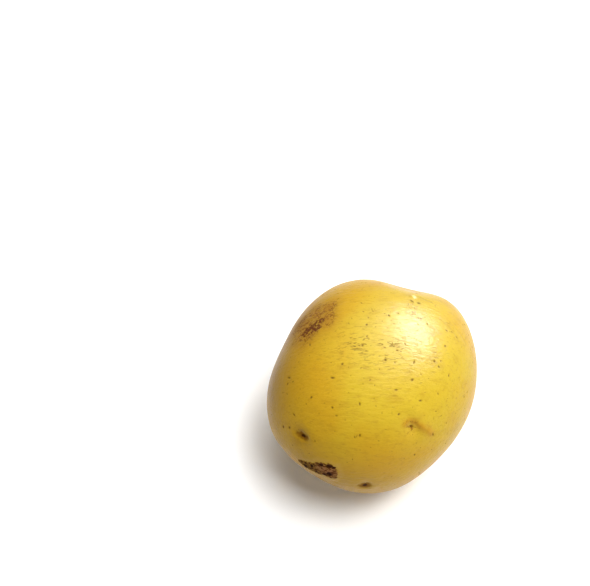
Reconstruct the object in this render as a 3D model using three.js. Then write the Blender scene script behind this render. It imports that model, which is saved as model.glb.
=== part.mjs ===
// A whole yellow-skinned potato, lying on the small flat spot it rests on. Millimetres, +Z up.
// The origin is the middle of its footprint. Its length runs along X: the rose end, where the eyes
// crowd together, is towards -X, and the stem end, with the scar of the stolon, is towards +X.
import * as THREE from "three";
import { mergeVertices } from "three/addons/utils/BufferGeometryUtils.js";

// Driving dimensions: the box that the tuber just fits, how far its flat spot is pressed in, and the
// height over which the skin turns up again round that spot.
const LENGTH = 85;
const WIDTH = 74;
const HEIGHT = 66;
const FLAT_SPOT_DEPTH = 1.1;
const FLAT_SPOT_ROUNDING = 0.8;

const SQUARENESS = 2.04; // 2 is a plain ellipsoid, more is boxier
const GRID_DETAIL = 21; // cuts along each edge of the icosahedron that the skin is stretched over
const CROWDING = { share: 0.4, spread: 11 }; // how far the grid is drawn in to an eye, and from how many degrees

// Places on the tuber are seen from its middle: [degrees round from +X towards +Y, degrees above the middle].
// Broad swellings and hollows: how many degrees until one fades, and how many mm it stands out (-, is let in).
const LOBES = [
  { name: "stem_end_shoulder", at: [-8, 20], spread: 23, out: 2.1 },
  { name: "notch_above_shoulder", at: [19, 26], spread: 15, out: -3.1 },
  { name: "crown", at: [61, 26], spread: 27.5, out: 1.5 },
  { name: "far_flank", at: [116, 9], spread: 24.5, out: -2.5 },
  { name: "left_flank", at: [146, 2], spread: 23.5, out: -1 },
  { name: "rose_end_flat", at: [184, -21], spread: 20, out: -2.6 },
  { name: "near_foot", at: [-125, -27], spread: 22.5, out: 1.7 },
];

// Eyes are oval hollows that lie across the length, each with a low brow on the side of the stem end.
// Half sizes along the length and across it, to where the hollow fades, and depths and brow heights, in mm.
const EYES = [
  { name: "rose_end_eye", at: [-179, 20], along: 2.2, across: 3, deep: 1, brow: 0.2 },
  { name: "near_foot_eye", at: [-142, 0], along: 1.8, across: 2.8, deep: 0.7, brow: 0.15 },
  { name: "near_side_eye", at: [-114, 33], along: 2.4, across: 4.2, deep: 0.9, brow: 0.35 },
  { name: "rose_bud_eye", at: [170, -9], along: 2, across: 2.8, deep: 1.1, brow: 0.2 },
  { name: "far_rose_eye", at: [137, -26], along: 2, across: 3, deep: 1, brow: 0.2 },
  { name: "far_side_eye", at: [103, -13], along: 2.4, across: 4, deep: 1.1, brow: 0.35 },
  { name: "near_low_eye", at: [-76, -38], along: 2.2, across: 3.6, deep: 1, brow: 0.3 },
  { name: "far_stem_eye", at: [49, -20], along: 2.4, across: 4, deep: 0.9, brow: 0.35 },
  { name: "near_stem_eye", at: [-36, -14], along: 2.6, across: 4.4, deep: 0.9, brow: 0.35 },
  { name: "stolon_scar", at: [5, -9], along: 2.4, across: 2.4, deep: 1.3, brow: 0 },
];

const radians = THREE.MathUtils.degToRad;

// The unit vector from the tuber's middle towards a place.
function towards([round, up]) {
  return new THREE.Vector3(
    Math.cos(radians(up)) * Math.cos(radians(round)),
    Math.cos(radians(up)) * Math.sin(radians(round)),
    Math.sin(radians(up)),
  );
}

// 1 in the middle of a spot that many degrees wide, falling away smoothly to 0 outside it.
function falloff(direction, middle, spread) {
  const away = THREE.MathUtils.radToDeg(direction.angleTo(middle)) / spread;
  return Math.exp(-away * away);
}

function eachPoint(geometry, change) {
  const points = geometry.getAttribute("position");
  const point = new THREE.Vector3();
  for (let i = 0; i < points.count; i++) {
    change(point.fromBufferAttribute(points, i));
    points.setXYZ(i, point.x, point.y, point.z);
  }
  geometry.computeBoundingBox();
}

// A ball of even triangles, its points drawn together where an eye will be.
function skinGrid() {
  const grid = new THREE.IcosahedronGeometry(1, GRID_DETAIL);
  grid.deleteAttribute("normal");
  grid.deleteAttribute("uv");
  const ball = mergeVertices(grid, 1e-5);
  for (const eye of EYES) {
    const middle = towards(eye.at);
    eachPoint(ball, (point) => {
      const share = CROWDING.share * falloff(point, middle, CROWDING.spread);
      point.lerp(middle, share).normalize();
    });
  }
  return ball;
}

// The distance from the middle to the skin of a plain, slightly boxy ellipsoid.
function plainRadius(d) {
  const share = (along, side) => Math.pow(Math.abs(along) / (side / 2), SQUARENESS);
  return Math.pow(share(d.x, LENGTH) + share(d.y, WIDTH) + share(d.z, HEIGHT), -1 / SQUARENESS);
}

function swell(point) {
  point.normalize();
  let radius = plainRadius(point);
  for (const lobe of LOBES) radius += lobe.out * falloff(point, towards(lobe.at), lobe.spread);
  point.multiplyScalar(radius);
}

// What becomes of a height above the flat spot: nothing is left below it, and it is kept from the rounding up.
function settled(height) {
  if (height >= FLAT_SPOT_ROUNDING) return height;
  const share = Math.max(height, 0) / FLAT_SPOT_ROUNDING;
  return FLAT_SPOT_ROUNDING * share * share * (2 - share);
}

// Gives the body its exact driving size, around its middle.
function fitToSize(geometry) {
  geometry.center();
  const size = geometry.boundingBox.getSize(new THREE.Vector3());
  geometry.scale(LENGTH / size.x, WIDTH / size.y, HEIGHT / size.z);
}

// How far an eye moves the skin out at a point: down in the hollow, and up on the brow that arches over it.
function eyeRelief(point, eye) {
  const middle = towards(eye.at);
  if (point.dot(middle) < 0) return 0; // on the other side of the tuber
  const stemward = new THREE.Vector3(1, 0, 0).projectOnPlane(middle).normalize();
  const sideways = new THREE.Vector3().crossVectors(middle, stemward);
  const away = point.clone().normalize().sub(middle).multiplyScalar(point.length());
  const along = away.dot(stemward) / eye.along;
  const across = away.dot(sideways) / eye.across;
  const reach = Math.hypot(along, across);
  const overTheEye = Math.max(along, 0) / Math.max(reach, 0.1);
  return eye.brow * overTheEye * Math.exp(-(((reach - 1.7) / 0.6) ** 2)) - eye.deep * Math.exp(-reach * reach);
}

function pressEyes(geometry) {
  eachPoint(geometry, (point) => {
    let out = 0;
    for (const eye of EYES) out += eyeRelief(point, eye);
    point.setLength(point.length() + out);
  });
}

function potatoGeometry() {
  const skin = skinGrid();
  eachPoint(skin, swell);
  const floor = skin.boundingBox.min.z + FLAT_SPOT_DEPTH;
  eachPoint(skin, (point) => point.setZ(floor + settled(point.z - floor)));
  fitToSize(skin);
  pressEyes(skin);
  return skin.translate(0, 0, HEIGHT / 2);
}

const potato = new THREE.Mesh(
  potatoGeometry(),
  new THREE.MeshStandardMaterial({ color: 0xd9b440, roughness: 0.5, metalness: 0 }),
);
potato.name = "potato";

const part = new THREE.Group();
part.add(potato);
export default part;
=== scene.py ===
"""A whole yellow-skinned potato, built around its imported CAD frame, on a pale floor in soft light.

The CAD solid gives the size and the broad shape. A fine skin is wrapped onto it, then eyes, a corky scab, a
russet patch, a wart, pores and creases are raised or pressed into that skin, and each leaves a mask that the
skin's material paints by. Metres, with +Z up: the rose end is towards -X and the stem end towards +X.
"""
import math

import bmesh
import bpy
import numpy as np
from mathutils import Matrix, Vector, noise
from mathutils.bvhtree import BVHTree


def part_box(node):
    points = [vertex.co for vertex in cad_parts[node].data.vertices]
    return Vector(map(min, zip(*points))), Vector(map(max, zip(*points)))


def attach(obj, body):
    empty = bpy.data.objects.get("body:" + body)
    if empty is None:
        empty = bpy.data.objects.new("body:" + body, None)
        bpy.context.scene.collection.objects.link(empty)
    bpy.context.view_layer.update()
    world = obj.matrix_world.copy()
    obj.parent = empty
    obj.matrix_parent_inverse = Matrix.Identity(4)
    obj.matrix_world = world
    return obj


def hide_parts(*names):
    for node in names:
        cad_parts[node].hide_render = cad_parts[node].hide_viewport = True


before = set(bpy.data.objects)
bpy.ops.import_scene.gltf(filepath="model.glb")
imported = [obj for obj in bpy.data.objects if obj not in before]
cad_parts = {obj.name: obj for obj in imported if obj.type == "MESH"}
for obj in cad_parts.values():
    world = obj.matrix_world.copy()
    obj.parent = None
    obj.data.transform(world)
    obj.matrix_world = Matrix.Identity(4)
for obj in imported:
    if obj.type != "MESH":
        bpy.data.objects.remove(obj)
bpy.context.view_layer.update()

MM = 0.001
NODE = "potato"
LOW, HIGH = (np.array(corner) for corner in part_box(NODE))
MIDDLE = (LOW + HIGH) / 2

SKIN_CUTS = 128  # quads along each edge of the cube that the skin's grid is stretched from
CAD_ROUNDING = 2  # subdivisions that round off the CAD solid's facets
WELD = 0.001 * MM  # points of the CAD solid closer than this are one
RELAX_ROUNDS = 4  # how often the wrapped skin is smoothed
FAR_SIDE = 1000.0  # stands for the distance, in mm, of points on the other side of the tuber
FAR = 4.0  # a mark's third coordinate away from any mark: well over the 1 at a mark's rim

# Places are seen from the middle of the CAD box: (degrees round from +X towards +Y, degrees above it).
# Sizes, depths and heights are in millimetres.
FOLDED_EYE = (-114.5, 33)
STOLON_SCAR = (5, -9)
# Eyes: half sizes of the dark bud and of the brown lids round it, first towards the stem and then across,
# and how many degrees both are turned. Then the strengths of the stain, the blush and the brow, and how far
# a hollow is filled up again.
EYES = [
    dict(at=(-179, 19.5), bud=(0.6, 1.1), lids=(1.2, 2.7), turn=14, stain=0.9, blush=0.1, brow=0.1),
    dict(at=(-142, -1), bud=(1.2, 1.0), lids=(2.0, 2.5), turn=85, stain=0.2, blush=0.5, brow=0.0, fill=0.5),
    dict(at=FOLDED_EYE, bud=(0.2, 0.3), lids=(0.45, 0.9), turn=30, stain=0.0, blush=0.4, brow=0.2),
    dict(at=(170, -9), bud=(0.6, 1.1), lids=(1.1, 2.3), turn=0, stain=0.5, blush=0.3, brow=0.4),
    dict(at=(137, -26), bud=(0.6, 1.1), lids=(1.1, 2.3), turn=0, stain=0.5, blush=0.3, brow=0.4),
    dict(at=(103, -13), bud=(0.5, 0.9), lids=(0.9, 2.0), turn=0, stain=0.3, blush=0.5, brow=0.8),
    dict(at=(-76, -38), bud=(0.5, 0.9), lids=(0.9, 2.0), turn=0, stain=0.4, blush=0.4, brow=0.6),
    dict(at=(49, -20), bud=(0.5, 0.9), lids=(0.9, 2.0), turn=0, stain=0.3, blush=0.5, brow=0.8),
    dict(at=(-36, -14), bud=(0.5, 0.8), lids=(0.8, 1.8), turn=0, stain=0.2, blush=0.5, brow=0.9),
]
# The long fold over the folded eye, and down beside it.
EYE_FOLD = [(-119, 36.5), (-114.5, 37.5), (-110.5, 34), (-107, 29.5), (-103, 24)]

# Two broad paler tints on the lit top, which are painted light, each by its mask's name: its middle, and how
# many degrees until it fades.
LIT_TOP_TINTS = {"pale": ((-78, 66), 48), "palest": ((-15, 78), 24)}
CREASED_BAND = [(150, 76), (-150, 81), (-90, 78)]  # fine wrinkles crowd along this line on top

# Patches are made of round blobs, each a place and a radius.
# Painted shade: the skin is darkened browner low on the rose end, on the far side and low by the stem end.
SHADED_BLOBS = [((-160, -12), 20), ((140, 20), 15), ((112, 30), 15), ((30, -35), 16)]
EYE_SPECKS = [(FOLDED_EYE, 2.6), ((-117.5, 36), 1.6)]
# The scab: its lumps, in turn from the tip of the rose end, then the pinker part of its cork, and its pits.
SCAB = (-171, 4.2)
CORK_LUMPS = [
    ((-175.2, 3.6), 1.0),
    ((-173.3, 4), 1.6),
    (SCAB, 2.3),
    ((-168.6, 5.2), 2.6),
    ((-166.2, 5.4), 2.7),
    ((-163.5, 7.6), 3.4),
    ((-160.5, 8.8), 3.2),
    ((-160, 5.8), 2.8),
]
PINK_CORK = [((-163.5, 9), 2.6), ((-160, 8.5), 3.2)]
CORK_PITS = [
    ((-172.5, 3), 0.9),
    ((-169, 6.6), 0.7),
    ((-166.5, 2.6), 0.9),
    ((-164.4, 10.8), 0.8),
    ((-161.2, 12), 0.8),
    ((-158.4, 12), 0.7),
    ((-159.5, 5.8), 1.0),
    ((-162.6, 4.4), 0.6),
]
# The russet: its dark core, and the wider patch round that.
RUSSET = (115.5, 48.5)
RUSSET_CORE = [
    ((120.5, 43.8), 1.3),
    ((118, 46), 2.0),
    (RUSSET, 2.3),
    ((112, 48.5), 2.1),
    ((113.5, 51), 1.7),
    ((106.5, 52), 1.2),
]
RUSSET_PATCH = [((118, 44), 5.0), ((110, 38), 5.0), ((99, 43), 4.2), ((90, 49), 3.2), ((104, 54), 3.8)]
SCUFFS = [((2, 56), 2.2), ((-4, 60), 2.4), ((-13, 58), 2.2), ((50, 70), 1.3)]
WART = (8, 46.5)
# Shallow folds under the wart and on the stem end's shoulder.
FOLDS = [
    {"through": [(8, 43.5), (1, 42.5), (-7, 40)], "strength": 1.0},
    {"through": [(-20, 45), (-28, 41), (-36, 36)], "strength": 0.5},
    {"through": [(-24, 39), (-31, 34), (-37, 29)], "strength": 0.4},
]

# Pores that stand out, each a place and a size. The rest are scattered.
CLEAR_PORES = [
    ((18, 72), 0.5),
    ((79, 79), 0.5),
    ((166, 79), 0.5),
    ((-31, 44), 0.45),
    ((-24, 56), 0.45),
    ((-122, 74), 0.6),
    ((-82, 64), 0.5),
    ((-65, 53), 0.6),
    ((-68, 49), 0.45),
    ((-68, 41), 0.4),
    ((-99, 57), 0.6),
    ((171, 63), 0.5),
    ((175, 54), 0.6),
    ((151, 33), 0.6),
    ((154, 31), 0.45),
    ((133, 49), 0.5),
    ((173, 39), 0.5),
    ((-120, 56), 0.5),
    ((-102, 45), 0.5),
    ((-171, 42), 0.5),
    ((-153, 49), 0.5),
    ((-122, 43), 0.45),
    ((171, 26), 0.5),
    ((169, 15), 0.6),
    ((173, 18), 0.6),
    ((-148, 33), 0.5),
    ((-116, 16), 0.45),
    ((-46, 47), 0.5),
    ((-102, 22), 0.6),
    ((6.5, 51.5), 0.7),
    ((0.5, 49.5), 0.7),
]
SCATTERED_PORES = 850
PORE_GAP = 0.05  # the least angle between a scattered pore and any other, in radians

# Creases run one way: crowded together in a few places on top, and sparser elsewhere. The reach is how far
# they scatter along that way and across it, as shares of the distance to the middle of the tuber.
CREASE_HEADING = (0.69, -0.72, 0.0)
CREASED = [
    {"at": (-150, 80), "count": 12, "reach": (0.22, 0.12)},
    {"at": (-35, 72), "count": 16, "reach": (0.16, 0.14)},
    {"at": (150, 66), "count": 30, "reach": (0.3, 0.25)},
    {"at": (-70, 40), "count": 30, "reach": (0.4, 0.4)},
    {"at": (60, -20), "count": 30, "reach": (0.6, 0.6)},
]

# Where the skin's grid is drawn in for fine relief: a place, by what share of the way, and how many degrees
# until the pull fades.
DRAWN_TOGETHER = [(eye["at"], 0.4, 9) for eye in EYES]
DRAWN_TOGETHER += [(STOLON_SCAR, 0.4, 9), (SCAB, 0.5, 14), (RUSSET, 0.35, 16), (WART, 0.4, 10)]


def unit(vectors):
    return vectors / np.linalg.norm(vectors, axis=-1, keepdims=True)


def towards(place):
    """The unit vector from the potato's middle towards a place."""
    around, up = np.radians(place)
    return np.array([math.cos(up) * math.cos(around), math.cos(up) * math.sin(around), math.sin(up)])


def degrees_from(directions, place):
    """How many degrees each direction is away from a place."""
    return np.degrees(np.arccos(np.clip(directions @ towards(place), -1, 1)))


def tangent(normal, heading):
    """The unit vector in the plane that a normal stands on, closest to a heading."""
    return unit(heading - normal * (heading @ normal))


def bell(distance):
    """1 at no distance, falling away smoothly on both sides."""
    return np.exp(-np.square(distance))


def ease(value, start, end):
    """0 at start and 1 at end, easing in and out between them; start may be the larger."""
    share = np.clip((value - start) / (end - start), 0, 1)
    return share * share * (3 - 2 * share)


# ---------------------------------------------------------------- the skin's grid


def cube_sphere(cuts):
    """Directions evenly spread over a ball, and the quads that join them, facing out."""
    line = np.tan(np.linspace(-1, 1, cuts + 1) * math.pi / 4)
    first, second = np.meshgrid(line, line, indexing="ij")
    index = np.arange((cuts + 1) ** 2).reshape(cuts + 1, cuts + 1)
    sheet_quads = np.stack([index[:-1, :-1], index[1:, :-1], index[1:, 1:], index[:-1, 1:]], axis=-1)
    points = []
    quads = []
    for axis in range(3):
        for side in (-1, 1):
            sheet = np.empty(first.shape + (3,))
            sheet[..., axis] = side
            sheet[..., (axis + 1) % 3] = first * side
            sheet[..., (axis + 2) % 3] = second
            quads.append(sheet_quads.reshape(-1, 4) + len(points) * index.size)
            points.append(sheet.reshape(-1, 3))
    points = np.round(np.concatenate(points), 9)
    points, joined = np.unique(points, axis=0, return_inverse=True)
    return unit(points), joined.reshape(-1)[np.concatenate(quads)]


def draw_together(directions, place, share, spread):
    """Draws the grid in towards a place, by that share of the way, fading over that many degrees."""
    pull = share * bell(degrees_from(directions, place) / spread)[:, None]
    return unit(directions + (towards(place) - directions) * pull)


def dense_grid():
    """The skin's grid, finer where it carries fine relief."""
    directions, quads = cube_sphere(SKIN_CUTS)
    for place, share, spread in DRAWN_TOGETHER:
        directions = draw_together(directions, place, share, spread)
    return directions, quads


def rounded_cad_surface():
    """A search tree of the CAD solid, with its facets rounded off by subdivision."""
    body = bpy.data.objects.new("cad_rounding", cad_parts[NODE].data.copy())
    bpy.context.scene.collection.objects.link(body)
    welded = bmesh.new()
    welded.from_mesh(body.data)
    bmesh.ops.remove_doubles(welded, verts=welded.verts, dist=WELD)
    welded.to_mesh(body.data)
    welded.free()
    subdivision = body.modifiers.new("rounding", "SUBSURF")
    subdivision.levels = CAD_ROUNDING
    tree = BVHTree.FromObject(body, bpy.context.evaluated_depsgraph_get())
    bpy.data.objects.remove(body)
    return tree


def wrap(directions, surface):
    """How far each direction meets the surface from the middle."""
    start = Vector(MIDDLE)
    return np.array([surface.ray_cast(start, Vector(direction))[3] for direction in directions])


def quad_edges(quads):
    pairs = np.concatenate([quads[:, [0, 1]], quads[:, [1, 2]], quads[:, [2, 3]], quads[:, [3, 0]]])
    return np.unique(np.sort(pairs, axis=1), axis=0)


def relax(values, edges, rounds):
    """Each value becomes the mean of its own and its neighbours', that many times."""
    count = np.bincount(edges.ravel(), minlength=len(values))
    for _ in range(rounds):
        total = np.bincount(edges[:, 0], values[edges[:, 1]], len(values))
        total += np.bincount(edges[:, 1], values[edges[:, 0]], len(values))
        values = (values + total / count) / 2
    return values


def normals_of(points, quads):
    """Each point's normal: the mean of its quads', weighted by their areas."""
    corners = points[quads]
    facing = np.cross(corners[:, 2] - corners[:, 0], corners[:, 3] - corners[:, 1])
    normals = np.zeros_like(points)
    for corner in range(4):
        np.add.at(normals, quads[:, corner], facing)
    return unit(normals)


# ---------------------------------------------------------------- relief and masks


class Skin:
    """The skin's points, with the relief and the masks that features add to them. Lengths in millimetres."""

    def __init__(self, points, normals, directions):
        self.points = (points - MIDDLE) / MM
        self.normals = normals
        self.directions = directions
        self.height = np.zeros(len(points))
        self.masks = {}

    def mask(self, name, values):
        """Adds a mask, or keeps the stronger of two with the same name."""
        values = np.clip(values, 0, 1)
        self.masks[name] = np.maximum(self.masks.get(name, 0), values)

    def nearest(self, place):
        return np.argmax(self.directions @ towards(place))

    def spot(self, place, turn=0):
        """Coordinates towards the stem and across, turned by some degrees, in the plane that touches the
        skin at a place."""
        nearest = self.nearest(place)
        normal = self.normals[nearest]
        along = tangent(normal, np.array([1.0, 0.0, 0.0]))
        across = np.cross(normal, along)
        cos, sin = math.cos(math.radians(turn)), math.sin(math.radians(turn))
        offset = self.points - self.points[nearest]
        offset[self.normals @ normal < 0] = FAR_SIDE
        return offset @ (cos * along + sin * across), offset @ (cos * across - sin * along)

    def from_blobs(self, blobs):
        """The distance from the nearest blob's middle, 1 at its rim."""
        least = np.full(len(self.points), np.inf)
        for place, radius in blobs:
            away = np.linalg.norm(self.points - self.points[self.nearest(place)], axis=1)
            least = np.minimum(least, away / radius)
        return least

    def from_line(self, places):
        """The distance from a line drawn over the skin through some places."""
        stops = [self.points[self.nearest(place)] for place in places]
        least = np.full(len(self.points), np.inf)
        for start, end in zip(stops, stops[1:]):
            leg = end - start
            share = np.clip((self.points - start) @ leg / (leg @ leg), 0, 1)
            least = np.minimum(least, np.linalg.norm(self.points - start - share[:, None] * leg, axis=1))
        return least

    def wander(self, size, seed, octaves=3, where=None):
        """Smooth noise from about -1 to 1, with lumps of that size, and 0 where it isn't wanted."""
        values = np.zeros(len(self.points))
        chosen = range(len(self.points)) if where is None else np.flatnonzero(where)
        shift = Vector((seed * 17.3, seed * 5.7, seed * 11.1))
        for i in chosen:
            values[i] = noise.fractal(Vector(self.points[i]) / size + shift, 0.8, 2.0, octaves)
        return values


def press_eye(skin, at, turn, bud, lids, stain, blush, brow, fill=0.0):
    """A bud between its lids, in a stained hollow, under an arched brow on the stem's side."""
    along, across = skin.spot(at, turn)
    away = np.hypot(along, across)
    waver = skin.wander(1.4, seed=3, where=away < 12)
    bud_reach = np.hypot(along / bud[0], across / bud[1]) + 0.25 * waver
    lid_reach = np.hypot(along / lids[0], across / lids[1]) + 0.2 * waver
    skin.height += fill * bell(away / 2.0) - 0.25 * bell(lid_reach) - 0.2 * bell(bud_reach)
    skin.height += 0.12 * bell((lid_reach - 1.6) / 0.5)
    skin.mask("eye_bud", ease(bud_reach, 1.6, 0.2))
    skin.mask("eye_lids", ease(lid_reach, 1.7, 0.3))
    skin.mask("eye_stain", stain * bell(away / 3.4 + 0.15 * waver))
    skin.mask("eye_blush", blush * bell(away / 5.0 + 0.15 * waver))
    along, across = skin.spot(at)
    arch_reach = np.hypot((along + 0.6) / 3.0, across / 4.2) + 0.06 * waver
    over_the_eye = ease(along / np.maximum(away, 0.1), 0.0, 0.8)
    skin.height += 0.22 * brow * over_the_eye * bell((arch_reach - 1.15) / 0.22)
    skin.height -= 0.14 * brow * over_the_eye * bell((arch_reach - 0.75) / 0.2)
    skin.mask("eye_fold", brow * over_the_eye * bell((arch_reach - 0.9) / 0.25))


def fold_eye(skin):
    """The long fold that runs over one eye and down beside it, with a smear of specks round that eye."""
    away = skin.from_line(EYE_FOLD)
    waver = skin.wander(2.0, seed=4, where=away < 6)
    skin.height += 0.22 * bell(away + 0.3 * waver)
    skin.height -= 0.2 * bell(skin.from_blobs([(FOLDED_EYE, 2.4)]) + 0.2 * waver)
    skin.mask("eye_fold", 0.9 * bell((away + 0.5 * waver) / 1.3))
    skin.mask("eye_specks", bell(skin.from_blobs(EYE_SPECKS)))


def press_stolon_scar(skin):
    """The ragged, dark pit that the stolon leaves at the stem end."""
    along, across = skin.spot(STOLON_SCAR)
    reach = np.hypot(along, across)
    waver = skin.wander(1.2, seed=5, where=reach < 8)
    ragged = reach / 1.7 + 0.3 * waver
    skin.height += 0.35 * bell((ragged - 1.0) / 0.3) - 0.5 * bell(ragged / 0.6)
    skin.mask("eye_bud", 0.8 * ease(ragged, 1.2, 0.6))
    skin.mask("eye_stain", 0.8 * bell(reach / 4.0))
    skin.mask("russet", 0.7 * bell(reach / 5))


def raise_scab(skin):
    """Ragged lumps of cork side by side, with pits among them and a pale lip of skin round them."""
    reach = skin.from_blobs(CORK_LUMPS)
    near = reach < 4
    ragged = skin.wander(1.8, seed=7, where=near)
    fine = skin.wander(0.6, seed=8, where=near)
    edge = reach + 0.16 * ragged + 0.08 * fine
    pits = skin.from_blobs(CORK_PITS) + 0.25 * fine
    cover = ease(edge, 1.1, 0.85)
    lip = bell((edge - 1.35) / 0.3)
    skin.height += cover * (0.3 + 0.2 * fine) - 0.55 * cover * ease(pits, 1.2, 0.5)
    skin.height += 0.1 * lip
    skin.mask("scab", 1.5 - edge)
    skin.mask("scab_pit", (1.5 - pits) * cover)
    skin.mask("scab_lip", lip)
    skin.mask("scab_pink", bell(skin.from_blobs(PINK_CORK)))


def raise_russet(skin):
    """A patch of rough, netted skin, with a dark granular core."""
    reach = skin.from_blobs(RUSSET_PATCH)
    near = reach < 4
    waver = skin.wander(4, seed=11, where=near)
    fine = skin.wander(0.9, seed=12, octaves=4, where=near)
    skin.height += 0.14 * fine * bell(reach / 1.2)
    skin.mask("russet", bell(reach / 1.25 + 0.2 * waver))
    skin.mask("russet_core", 1.5 - skin.from_blobs(RUSSET_CORE) - 0.25 * fine)


def raise_wart(skin):
    """A small bump, a little wider across than along; its mask also carries the pale, painted highlight on
    its top.
    """
    along, across = skin.spot(WART)
    reach = np.hypot(along, across / 1.1)
    fine = skin.wander(0.8, seed=21, where=reach < 6)
    bump = bell(reach + 0.2 * fine)
    skin.height += 0.5 * bump
    skin.mask("wart", bump)


def roughen_scuffs(skin):
    """Spots where the skin is rubbed rough."""
    reach = skin.from_blobs(SCUFFS)
    fine = skin.wander(0.8, seed=23, where=reach < 3)
    skin.height += 0.12 * fine * bell(reach)
    skin.mask("scuff", bell(reach))


def press_folds(skin):
    """Shallow folds, each a wavering line."""
    for fold in FOLDS:
        away = skin.from_line(fold["through"])
        waver = skin.wander(2.2, seed=25, octaves=2, where=away < 4)
        skin.height -= 0.16 * fold["strength"] * bell((away + 0.4 * waver) / 0.45)
        skin.mask("fold", fold["strength"] * bell((away + 0.4 * waver) / 0.4))


def tint(skin):
    """The skin is paler on its lit top, which is painted light, and browner in painted shade low down and on
    the far side.
    """
    # painted light: masks that make the top paler where the light falls
    for name, (place, spread) in LIT_TOP_TINTS.items():
        skin.mask(name, bell(degrees_from(skin.directions, place) / spread))
    # painted shade: darker, browner skin low down and on the far side
    skin.mask("painted_shade", bell(skin.from_blobs(SHADED_BLOBS)))


def crease_top(skin):
    """Where the material draws fine wrinkles: along one band on top, and fewer round it."""
    away = skin.from_line(CREASED_BAND)
    skin.mask("creased", np.maximum(bell(away / 4.0), 0.4 * bell(away / 11)))


def undulate(skin):
    """The gentle unevenness that every tuber has between its features."""
    broad = skin.wander(14, seed=31, octaves=2)
    narrow = skin.wander(3.2, seed=32, octaves=2)
    skin.height += 0.08 * broad + 0.02 * narrow


# ---------------------------------------------------------------- marks: pores and creases


class Marks:
    """Small oval marks. Each point of the skin keeps where it lies in its nearest mark, as shares of the
    mark's half sizes, so that the material can draw the mark's outline sharper than the grid is. A point
    does so up to the reach, in millimetres, outside a mark's rim."""

    def __init__(self, skin, reach):
        count = len(skin.points)
        self.skin = skin
        self.reach = reach
        self.offset = np.tile([0.0, 0.0, FAR], (count, 1))
        self.strength = np.zeros(count)
        self.nearest = np.full(count, np.inf)

    def add(self, middle, normal, along, half, strength, alone=False):
        """A mark around a point, its half sizes along and across, in millimetres. One that must lie alone is
        left out where it would touch another."""
        across = np.cross(normal, along)
        away = self.skin.points - middle
        near = np.einsum("ij,ij->i", away, away) < (max(half) + self.reach) ** 2
        share = np.stack([away[near] @ along / half[0], away[near] @ across / half[1]], axis=1)
        size = np.linalg.norm(share, axis=1)
        rim = (size - 1) * min(half)
        if alone and np.isfinite(self.nearest[near][rim < 1.6 * self.reach]).any():
            return
        kept = (rim < self.reach) & (size < self.nearest[near])
        chosen = np.flatnonzero(near)[kept]
        self.offset[chosen, :2] = share[kept]
        self.offset[chosen, 2] = 0
        self.strength[chosen] = strength
        self.nearest[chosen] = size[kept]


def scatter(count, random):
    """Directions spread evenly at random over a ball."""
    return unit(random.normal(size=(count, 3)))


def keep_apart(candidates, taken, least):
    """The candidate directions that keep at least that many radians from all taken ones and each other."""
    kept = []
    for direction in candidates:
        if all(direction @ other < math.cos(least) for other in taken + kept):
            kept.append(direction)
    return kept


def mark_pores(skin):
    """Lenticels: small brown pores, the clear ones in their places and the rest scattered."""
    random = np.random.default_rng(5)
    marks = Marks(skin, reach=0.6)
    clear = [towards(place) for place, _ in CLEAR_PORES]
    for direction, (_, size) in zip(clear, CLEAR_PORES):
        add_pore(marks, direction, size, 1.0, random)
    for direction in keep_apart(scatter(SCATTERED_PORES, random), clear, PORE_GAP):
        size = 0.2 + 0.25 * random.random() ** 2
        add_pore(marks, direction, size, random.uniform(0.15, 0.8), random)
    skin.height -= 0.07 * marks.strength * bell(marks.nearest)
    return marks


def add_pore(marks, direction, size, strength, random):
    """An oval pore, drawn out by a random amount and turned a random way."""
    nearest = np.argmax(marks.skin.directions @ direction)
    normal = marks.skin.normals[nearest]
    along = tangent(normal, random.normal(size=3))
    stretch = random.uniform(1.0, 1.7)
    half = (size * stretch, size / math.sqrt(stretch))
    marks.add(marks.skin.points[nearest], normal, along, half, strength)


def mark_creases(skin):
    """Single fine creases, each turned a little off the way that they all run."""
    random = np.random.default_rng(9)
    marks = Marks(skin, reach=0.5)
    heading = np.array(CREASE_HEADING)
    for patch in CREASED:
        middle = towards(patch["at"])
        along = tangent(middle, heading)
        across = np.cross(middle, along)
        for _ in range(patch["count"]):
            shift = random.normal(size=2) * patch["reach"]
            nearest = np.argmax(skin.directions @ unit(middle + along * shift[0] + across * shift[1]))
            normal = skin.normals[nearest]
            turned = tangent(normal, heading + 0.15 * random.normal(size=3))
            half = (random.uniform(0.4, 1.4), random.uniform(0.1, 0.15))
            marks.add(skin.points[nearest], normal, turned, half, random.uniform(0.2, 0.7), alone=True)
    skin.height -= 0.05 * marks.strength * bell(marks.nearest)
    return marks


# ---------------------------------------------------------------- the mesh


def store(mesh, name, values, kind="FLOAT"):
    """Keeps a value for each point of a mesh, for its material to read."""
    attribute = mesh.attributes.new(name, kind, "POINT")
    field = "value" if kind == "FLOAT" else "vector"
    attribute.data.foreach_set(field, np.ascontiguousarray(values, np.float32).ravel())


def mesh_from(points, quads):
    mesh = bpy.data.meshes.new("potato_skin")
    mesh.vertices.add(len(points))
    mesh.vertices.foreach_set("co", points.astype(np.float32).ravel())
    mesh.loops.add(quads.size)
    mesh.loops.foreach_set("vertex_index", quads.astype(np.int32).ravel())
    mesh.polygons.add(len(quads))
    mesh.polygons.foreach_set("loop_start", np.arange(0, quads.size, 4, dtype=np.int32))
    mesh.update(calc_edges=True)
    mesh.validate()
    mesh.shade_smooth()
    return mesh


def add_features(skin):
    """Presses and raises every feature into the skin, and gives back its pores and its creases."""
    undulate(skin)
    tint(skin)
    crease_top(skin)
    for eye in EYES:
        press_eye(skin, **eye)
    press_stolon_scar(skin)
    raise_scab(skin)
    raise_russet(skin)
    fold_eye(skin)
    raise_wart(skin)
    roughen_scuffs(skin)
    press_folds(skin)
    return mark_pores(skin), mark_creases(skin)


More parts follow.
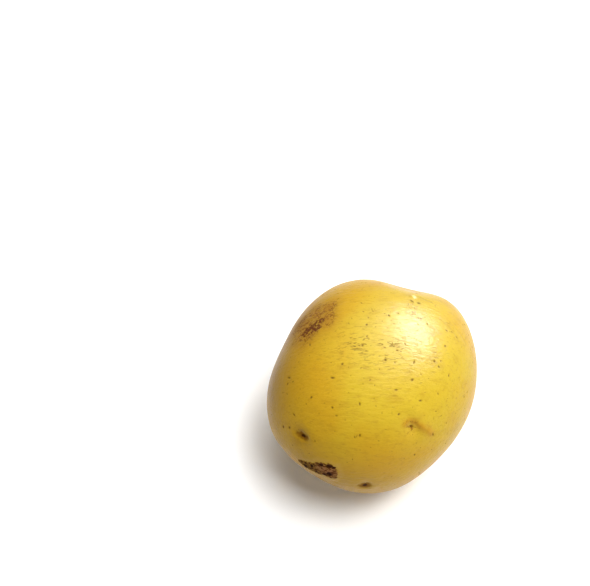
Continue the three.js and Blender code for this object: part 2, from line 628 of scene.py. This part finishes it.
def potato_skin():
    """The skin's own mesh, with the masks and marks that its material reads."""
    directions, quads = dense_grid()
    radii = relax(wrap(directions, rounded_cad_surface()), quad_edges(quads), RELAX_ROUNDS)
    points = MIDDLE + directions * radii[:, None]
    skin = Skin(points, normals_of(points, quads), directions)
    pores, creases = add_features(skin)
    points = points + skin.normals * (skin.height * MM)[:, None]
    points[:, 2] = np.maximum(points[:, 2], LOW[2])
    mesh = mesh_from(points, quads)
    for name, values in skin.masks.items():
        store(mesh, name, values)
    for name, marks in (("pore", pores), ("crease", creases)):
        store(mesh, name, marks.offset, "FLOAT_VECTOR")
        store(mesh, name + "_strength", marks.strength)
    piece = bpy.data.objects.new("potato_skin", mesh)
    bpy.context.scene.collection.objects.link(piece)
    mesh.materials.append(skin_material())
    return piece


# ---------------------------------------------------------------- materials


def linear(red, green, blue):
    """A colour given as it looks, from 0 to 255, as the shader wants it."""
    def one(value):
        value /= 255
        return value / 12.92 if value <= 0.04045 else ((value + 0.055) / 1.055) ** 2.4
    return (one(red), one(green), one(blue), 1.0)


OCHRE = linear(200, 155, 32)
LEMON = linear(202, 172, 44)
SHINE_CREAM = linear(208, 184, 84)
SHADE_BROWN = linear(160, 120, 30)
TAN = linear(162, 120, 30)
RUSSET_SKIN = linear(158, 108, 24)
RUSSET_NET = linear(108, 62, 4)
RUSSET_GRAINS = linear(84, 32, 0)
SCUFFED_SKIN = linear(134, 100, 26)
WART_HIGHLIGHT = linear(244, 224, 136)
FOLD_SHADE = linear(140, 110, 50)
EYE_BLUSH = linear(190, 152, 64)
EYE_FOLD_BROWN = linear(178, 116, 20)
EYE_STAIN = linear(126, 92, 14)
EYE_SPECK = linear(126, 62, 4)
EYE_LID = linear(112, 66, 2)
EYE_BUD = linear(58, 24, 0)
CREASE_BROWN_AND_SHADE = linear(104, 76, 0)
PORE_RIM = linear(128, 92, 6)
PORE_MIDDLE = linear(84, 56, 2)
SCAB_LIP = linear(202, 164, 84)
OLIVE_CORK = linear(140, 100, 34)
OLIVE_RIDGE = linear(72, 40, 2)
ROSY_CORK = linear(160, 110, 66)
ROSY_RIDGE = linear(96, 54, 16)
PIT_BROWN = linear(56, 24, 2)

GLOSS = 0.1  # the shader's specular level
DULLEST = 0.9  # the most that the skin's roughness comes to
BUMP_DEPTH = 0.1 * MM
GLOW = {"Weight": 0.12, "Radius": (1.0, 0.6, 0.15), "Scale": 1.5 * MM}  # light that soaks into the flesh

PALE_GREY = (0.9, 0.9, 0.9, 1.0)
WHITE = (1.0, 1.0, 1.0, 1.0)
FLOOR_GLOW = 0.15


class Shader:
    """Adds nodes to one material and joins them. A value is a number, a colour or another node's output."""

    def __init__(self, name, colour):
        self.material = bpy.data.materials.new(name)
        self.material.use_nodes = True
        self.tree = self.material.node_tree
        self.surface = self.tree.nodes["Principled BSDF"]
        self.place = self.node("ShaderNodeTexCoord").outputs["Object"]
        self.colour = colour

    def node(self, kind, **settings):
        made = self.tree.nodes.new(kind)
        for name, value in settings.items():
            setattr(made, name, value)
        return made

    def join(self, value, socket):
        if isinstance(value, bpy.types.NodeSocket):
            self.tree.links.new(value, socket)
        else:
            socket.default_value = value

    def set(self, name, value):
        """Sets one of the surface's own inputs."""
        self.join(value, self.surface.inputs[name])

    def paint(self, share, colour):
        """Lays a colour over what is painted so far."""
        self.colour = self.mix(share, self.colour, colour)

    def math(self, operation, first, second=0.0):
        made = self.node("ShaderNodeMath", operation=operation)
        self.join(first, made.inputs[0])
        self.join(second, made.inputs[1])
        return made.outputs[0]

    def times(self, first, second):
        return self.math("MULTIPLY", first, second)

    def plus(self, first, second):
        return self.math("ADD", first, second)

    def ease(self, value, start, end, low=0.0, high=1.0):
        """low at start and high at end, easing between them."""
        made = self.node("ShaderNodeMapRange", interpolation_type="SMOOTHSTEP")
        names = ("Value", "From Min", "From Max", "To Min", "To Max")
        for name, number in zip(names, (value, start, end, low, high)):
            self.join(number, made.inputs[name])
        return made.outputs["Result"]

    def mix(self, share, first, second):
        made = self.node("ShaderNodeMix", data_type="RGBA")
        self.join(share, made.inputs[0])
        self.join(first, made.inputs[6])
        self.join(second, made.inputs[7])
        return made.outputs[2]

    def mask(self, name):
        return self.node("ShaderNodeAttribute", attribute_name=name).outputs["Fac"]

    def size_in(self, name):
        """The distance from a mark's middle, 1 at its rim."""
        offset = self.node("ShaderNodeAttribute", attribute_name=name).outputs["Vector"]
        made = self.node("ShaderNodeVectorMath", operation="LENGTH")
        self.join(offset, made.inputs[0])
        return made.outputs["Value"]

    def stretched(self, times):
        """The place on the object, drawn out that many times along the way that the creases run."""
        made = self.node("ShaderNodeMapping", vector_type="TEXTURE")
        self.join(self.place, made.inputs["Vector"])
        made.inputs["Rotation"].default_value = (0, 0, math.atan2(CREASE_HEADING[1], CREASE_HEADING[0]))
        made.inputs["Scale"].default_value = (times, 1, 1)
        return made.outputs["Vector"]

    def noise(self, size, detail=3.0, roughness=0.55, place=None):
        """Noise from 0 to 1 with lumps of that size in millimetres."""
        made = self.node("ShaderNodeTexNoise")
        self.join(place or self.place, made.inputs["Vector"])
        made.inputs["Scale"].default_value = 1 / (size * MM)
        made.inputs["Detail"].default_value = detail
        made.inputs["Roughness"].default_value = roughness
        return made.outputs["Fac"]

    def streaks(self, size, times, detail=3.0, roughness=0.6):
        """Noise drawn out that many times along the way that the creases run."""
        return self.noise(size, detail, roughness, self.stretched(times))

    def wavering(self, size, amount):
        """The place on the object, shifted to and fro by that many millimetres."""
        waves = self.node("ShaderNodeTexNoise")
        self.join(self.place, waves.inputs["Vector"])
        waves.inputs["Scale"].default_value = 1 / (size * MM)
        shifted = self.node("ShaderNodeVectorMath", operation="MULTIPLY_ADD")
        self.join(waves.outputs["Color"], shifted.inputs[0])
        shifted.inputs[1].default_value = (amount * MM,) * 3
        self.join(self.place, shifted.inputs[2])
        return shifted.outputs["Vector"]

    def cell_edges(self, size, place):
        """Distance from the edges of cells of that size in millimetres, as a share of the size."""
        made = self.node("ShaderNodeTexVoronoi", feature="DISTANCE_TO_EDGE")
        self.join(place, made.inputs["Vector"])
        made.inputs["Scale"].default_value = 1 / (size * MM)
        return made.outputs["Distance"]

    def grained(self, mask, grain, amount, start, end):
        """A mask's field cut to a crisp, grainy outline."""
        shift = self.times(self.plus(grain, -0.5), amount)
        return self.ease(self.plus(mask, shift), start, end)


def skin_material():
    """Yellow skin, with its patches, eyes, marks and scab painted over it in turn."""
    shader = Shader("potato_skin", OCHRE)
    grain = shader.noise(0.7, 4.0, 0.65)
    paint_bare_skin(shader, grain)
    russet, netting, core = paint_russet(shader)
    paint_bumps_and_folds(shader)
    lids = paint_eyes(shader, grain)
    crease = paint_creases(shader, grain)
    pore = paint_pores(shader, grain)
    scab = paint_scab(shader, grain)
    shader.set("Base Color", shader.colour)
    shader.set("Roughness", skin_roughness(shader, russet, (lids, pore, crease, core, scab)))
    shader.set("Specular IOR Level", GLOSS)
    marks = shader.plus(shader.plus(pore, crease), shader.plus(netting, core))
    shader.set("Normal", skin_bump(shader, marks, scab))
    for name, value in GLOW.items():
        shader.set("Subsurface " + name, value)
    return shader.material


def paint_bare_skin(shader, grain):
    """Golden skin, paler on the lit top and palest where the shine falls, both painted light, browner in
    painted shade, and a little darker and browner in soft patches, fine streaks and grain.
    """
    paleness = shader.plus(shader.mask("pale"), shader.noise(22, 2.0))
    # painted light: paler, yellower skin on the lit top, broken up by noise
    shader.paint(shader.ease(paleness, 0.5, 1.2), LEMON)
    # painted highlight: a cream veil where the shine falls
    shader.paint(shader.times(shader.mask("palest"), 0.5), SHINE_CREAM)
    # painted shade: browner skin low down and on the far side
    shader.paint(shader.times(shader.mask("painted_shade"), 0.75), SHADE_BROWN)
    shader.paint(shader.ease(shader.streaks(4, 2, 4.0), 0.48, 0.75, 0.0, 0.3), TAN)
    shader.paint(shader.ease(shader.streaks(0.9, 3.5), 0.52, 0.72, 0.0, 0.35), TAN)
    shader.paint(shader.ease(grain, 0.52, 0.75, 0.0, 0.3), TAN)


def paint_russet(shader):
    """Brown skin with a broken net over it, and a dark granular core. Gives back all three."""
    russet = shader.mask("russet")
    netting = shader.ease(shader.cell_edges(1.3, shader.wavering(1.0, 1.2)), 0.16, 0.04)
    netting = shader.times(netting, shader.ease(shader.noise(1.6, 2.0), 0.42, 0.55))
    netting = shader.times(netting, shader.ease(russet, 0.25, 0.7))
    core = shader.ease(shader.mask("russet_core"), 0.1, 0.7)
    core = shader.times(core, shader.ease(shader.noise(0.9, 3.0, 0.6), 0.4, 0.52))
    shader.paint(shader.times(russet, 0.85), RUSSET_SKIN)
    shader.paint(shader.times(netting, 0.8), RUSSET_NET)
    shader.paint(shader.times(core, 0.9), RUSSET_GRAINS)
    return russet, netting, core


def paint_bumps_and_folds(shader):
    """Grains of brown on the scuffs, a painted highlight on the wart's top, and painted shade in the folds.
    """
    scuff = shader.times(shader.mask("scuff"), shader.ease(shader.noise(0.8, 3.0), 0.48, 0.62))
    shader.paint(shader.times(scuff, 0.75), SCUFFED_SKIN)
    # painted highlight: a pale cream top on the wart
    shader.paint(shader.ease(shader.mask("wart"), 0.35, 0.8), WART_HIGHLIGHT)
    shader.paint(shader.times(shader.mask("fold"), 0.5), FOLD_SHADE)


def paint_eyes(shader, grain):
    """A blush round each eye, then its fold, stain and specks, its lids and its bud. Gives back the lids."""
    shader.paint(shader.times(shader.mask("eye_blush"), 0.5), EYE_BLUSH)
    shader.paint(shader.times(shader.mask("eye_fold"), 0.6), EYE_FOLD_BROWN)
    stain = shader.times(shader.mask("eye_stain"), shader.ease(grain, 0.25, 0.6, 0.6, 1.0))
    shader.paint(shader.times(stain, 0.6), EYE_STAIN)
    specks = shader.times(shader.mask("eye_specks"), shader.ease(shader.noise(0.9, 2.0), 0.55, 0.64))
    shader.paint(shader.times(specks, 0.85), EYE_SPECK)
    lids = shader.grained(shader.mask("eye_lids"), grain, 0.5, 0.15, 0.95)
    shader.paint(shader.times(lids, 0.8), EYE_LID)
    bud = shader.grained(shader.mask("eye_bud"), grain, 0.5, 0.3, 0.85)
    shader.paint(shader.times(bud, 0.95), EYE_BUD)
    return lids


def wrinkles(shader):
    """Short, thin lines that run the way of the creases: level lines of drawn-out noise, broken up."""
    level = shader.math("ABSOLUTE", shader.plus(shader.streaks(1.3, 5, 2.0, 0.5), -0.5))
    whole = shader.ease(shader.streaks(1.2, 2.5, 2.0, 0.5), 0.48, 0.54)
    return shader.times(shader.ease(level, 0.045, 0.018), whole)


def paint_creases(shader, grain):
    """The single creases, and the wrinkles that crowd on top, brown partly for their own colour and partly
    as painted shade in them.
    """
    crease = shader.ease(shader.plus(shader.size_in("crease"), shader.times(grain, 0.4)), 1.4, 0.7)
    crease = shader.times(crease, shader.mask("crease_strength"))
    crease = shader.math("MAXIMUM", crease, shader.times(wrinkles(shader), shader.mask("creased")))
    # partly painted shade: creases and wrinkles darkened brown where their relief would break the shine
    shader.paint(shader.times(crease, 0.85), CREASE_BROWN_AND_SHADE)
    return crease


def paint_pores(shader, grain):
    """Brown dots with a darker middle."""
    strength = shader.mask("pore_strength")
    size = shader.plus(shader.size_in("pore"), grain)
    pore = shader.times(shader.ease(size, 1.9, 0.9), strength)
    shader.paint(shader.times(pore, 0.6), PORE_RIM)
    middle = shader.times(shader.ease(size, 1.25, 0.7), strength)
    shader.paint(shader.times(middle, 0.85), PORE_MIDDLE)
    return pore


def paint_scab(shader, grain):
    """A pale lip of skin, and inside it olive to rosy cork with brown ridges and near-black pits."""
    shader.paint(shader.times(shader.mask("scab_lip"), 0.25), SCAB_LIP)
    ridges = shader.ease(shader.streaks(0.7, 2.5), 0.42, 0.58)
    olive = shader.mix(ridges, OLIVE_CORK, OLIVE_RIDGE)
    rosy = shader.mix(ridges, ROSY_CORK, ROSY_RIDGE)
    cork = shader.mix(shader.mask("scab_pink"), olive, rosy)
    pits = shader.grained(shader.mask("scab_pit"), grain, 0.7, 0.3, 0.6)
    scab = shader.grained(shader.mask("scab"), grain, 0.3, 0.42, 0.52)
    shader.paint(scab, shader.mix(pits, cork, PIT_BROWN))
    return scab


def skin_roughness(shader, russet, dull):
    """Fairly smooth skin, rougher on the russet and roughest on whatever is dull."""
    roughness = shader.ease(shader.noise(3.0, 4.0, 0.6), 0.3, 0.7, 0.32, 0.38)
    roughness = shader.plus(roughness, shader.times(russet, 0.3))
    for mask in dull:
        roughness = shader.plus(roughness, shader.times(mask, 0.5))
    return shader.math("MINIMUM", roughness, DULLEST)


def skin_bump(shader, marks, scab):
    """The finest relief: grain and streaks all over, marks that are let in, and the scab's own grain."""
    height = shader.plus(shader.times(shader.noise(1.4, 5.0, 0.65), 0.5), shader.times(marks, -0.6))
    height = shader.plus(height, shader.times(shader.streaks(1.1, 4, 4.0), 3.5))
    height = shader.plus(height, shader.times(scab, shader.noise(0.5, 4.0)))
    bump = shader.node("ShaderNodeBump")
    bump.inputs["Strength"].default_value = 0.6
    bump.inputs["Distance"].default_value = BUMP_DEPTH
    shader.join(height, bump.inputs["Height"])
    return bump.outputs["Normal"]


def floor_material():
    """Pale and dull, with a faint glow of its own that keeps the shadow light."""
    shader = Shader("pale_floor", PALE_GREY)
    shader.set("Base Color", shader.colour)
    shader.set("Roughness", 0.8)
    shader.set("Emission Color", WHITE)
    shader.set("Emission Strength", FLOOR_GLOW)
    return shader.material


# ---------------------------------------------------------------- stage, light and camera

# In metres and watts: the way to each lamp from the potato's middle, its distance, width, height and power.
LAMPS = {
    "lamp": ((0.1, -0.3, 0.95), 0.9, 0.4, 0.4, 5.8),
    "overhead": ((0.34, 0.0, 0.92), 0.9, 1.0, 1.0, 10.4),
    "window": ((0.76, -0.03, 0.62), 0.8, 0.5, 0.22, 48.0),
}
FLOOR_RADIUS = 0.9

# The camera's turn round from looking along +Y and its tilt down, in degrees, its distance, and its lens in
# mm. It looks at a point that lies so far to the left of the potato's middle in the picture, and above it.
CAMERA_AZIMUTH = -46.5
CAMERA_ELEVATION = 57
CAMERA_DISTANCE = 367 * MM
CAMERA_LENS = 60
LOOKS_LEFT = 28.6 * MM
LOOKS_ABOVE = 33.0 * MM


def add_floor():
    """A round floor under the potato."""
    disc = bmesh.new()
    bmesh.ops.create_circle(disc, cap_ends=True, radius=FLOOR_RADIUS, segments=96)
    mesh = bpy.data.meshes.new("floor")
    disc.to_mesh(mesh)
    disc.free()
    mesh.materials.append(floor_material())
    floor = bpy.data.objects.new("floor", mesh)
    floor.location.z = LOW[2]
    bpy.context.scene.collection.objects.link(floor)


def look_at(thing, position, target):
    """Puts a lamp at a position, facing a target, with its top up."""
    facing = (Vector(target) - Vector(position)).to_track_quat("-Z", "Y")
    thing.matrix_world = Matrix.Translation(position) @ facing.to_matrix().to_4x4()


def add_softbox(name, direction, distance, width, height, power):
    """A rectangular lamp that faces the potato's middle."""
    light = bpy.data.lights.new(name, "AREA")
    light.shape = "RECTANGLE"
    light.size = width
    light.size_y = height
    light.energy = power
    lamp = bpy.data.objects.new(name, light)
    bpy.context.scene.collection.objects.link(lamp)
    look_at(lamp, Vector(MIDDLE) + Vector(direction).normalized() * distance, MIDDLE)
    return lamp


def add_backdrop():
    """A pale studio behind everything. Only the camera sees it, so it lights neither skin nor floor."""
    world = bpy.data.worlds.new("studio")
    world.use_nodes = True
    world.node_tree.nodes["Background"].inputs["Color"].default_value = PALE_GREY
    bpy.context.scene.world = world
    world.cycles_visibility.diffuse = False
    world.cycles_visibility.glossy = False


def add_lamps():
    """A lamp that gives the floor its shadow, a broad soft one, and a window that only makes the shine."""
    lamps = {name: add_softbox(name, *setting) for name, setting in LAMPS.items()}
    lamps["lamp"].visible_glossy = False
    lamps["window"].visible_diffuse = False


def add_camera():
    """The camera looks down over the rose end, and has the potato low in the picture and to the right."""
    azimuth, elevation = math.radians(CAMERA_AZIMUTH), math.radians(CAMERA_ELEVATION)
    right = Vector((math.cos(azimuth), math.sin(azimuth), 0))
    level = Vector((math.sin(azimuth), -math.cos(azimuth), 0))
    back = level * math.cos(elevation) + Vector((0, 0, math.sin(elevation)))
    up = back.cross(right)
    data = bpy.data.cameras.new("camera")
    data.lens = CAMERA_LENS
    data.clip_start = 0.01
    camera = bpy.data.objects.new("camera", data)
    bpy.context.scene.collection.objects.link(camera)
    target = Vector(MIDDLE) - right * LOOKS_LEFT + up * LOOKS_ABOVE
    facing = Matrix((right, up, back)).transposed().to_4x4()
    camera.matrix_world = Matrix.Translation(target + back * CAMERA_DISTANCE) @ facing
    bpy.context.scene.camera = camera


bpy.context.scene.view_settings.view_transform = "Standard"
potato = potato_skin()
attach(potato, "root")
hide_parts(NODE)
add_floor()
add_backdrop()
add_lamps()
add_camera()
